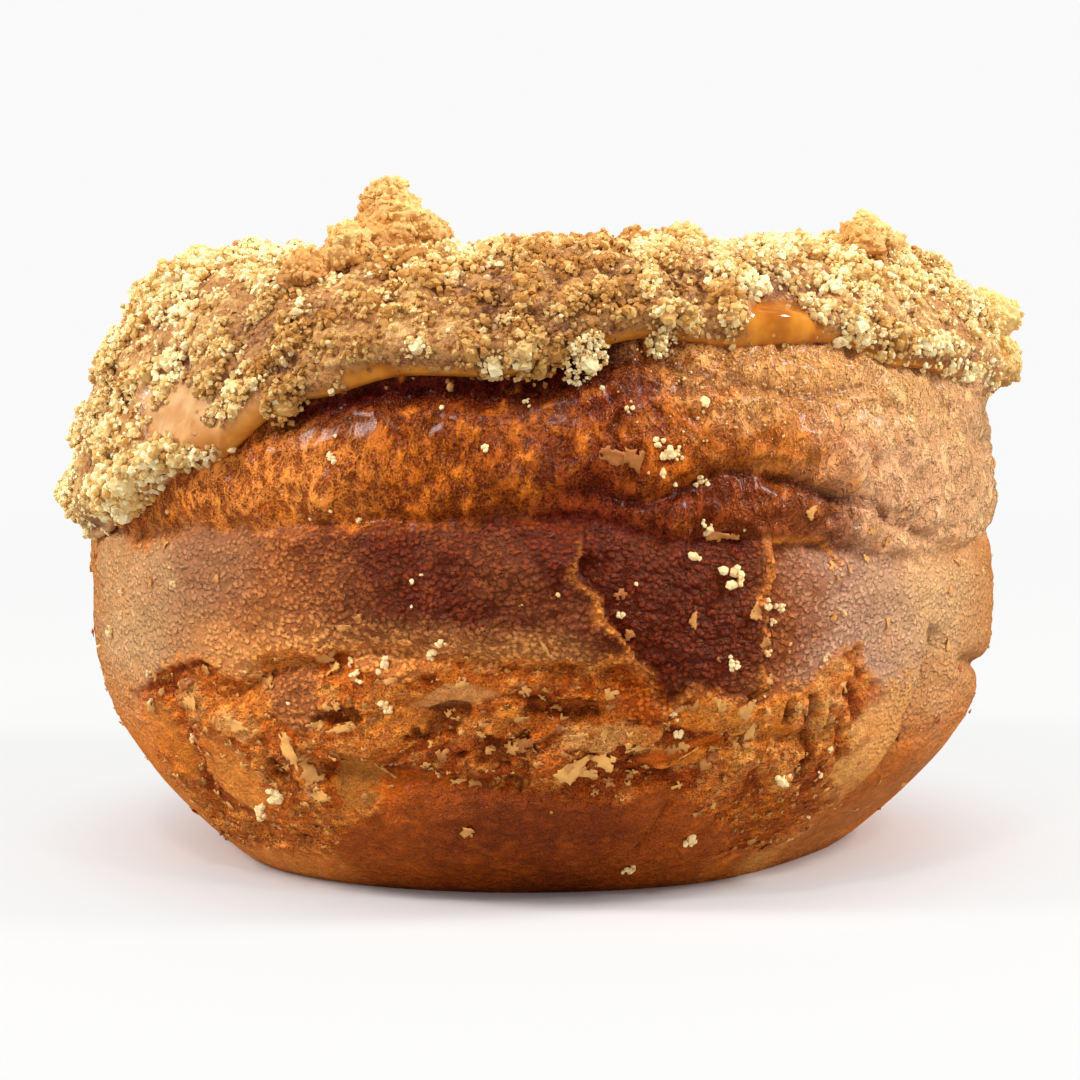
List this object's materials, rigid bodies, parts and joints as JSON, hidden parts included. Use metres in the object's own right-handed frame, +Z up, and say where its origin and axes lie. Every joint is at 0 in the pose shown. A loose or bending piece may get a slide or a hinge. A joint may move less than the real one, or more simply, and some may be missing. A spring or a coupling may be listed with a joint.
{
  "type": "caramel doughnut",
  "caption": "Tall ring doughnut of layered dough with caramel icing and streusel crumbs over its top.",
  "frame": {"origin": "on the table, under the middle of the whole object's box, close to the axis of the hole", "axes": "+Z up, -Y towards the front, where the torn crust and its long crack are, +X to the right seen from the front"},
  "size_m": [0.0922, 0.0892, 0.0644],
  "materials": {
    "crust": "fried layered dough: glossy orange-brown above, dull dark brown in the middle, torn and golden below",
    "caramel": "set caramel icing, smooth and shiny",
    "streusel": "baked butter and sugar crumbs, dull and grainy, pale gold with browner bits"
  },
  "bodies": {
    "root": {"dough_ring": "crust", "caramel_icing": "caramel", "streusel_lump_back": "streusel", "streusel_lump_right": "streusel", "streusel_lump_left": "streusel", "streusel_lump_top": "streusel", "streusel_lump_side": "streusel", "streusel_lump_far": "streusel"}
  },
  "joints": []
}
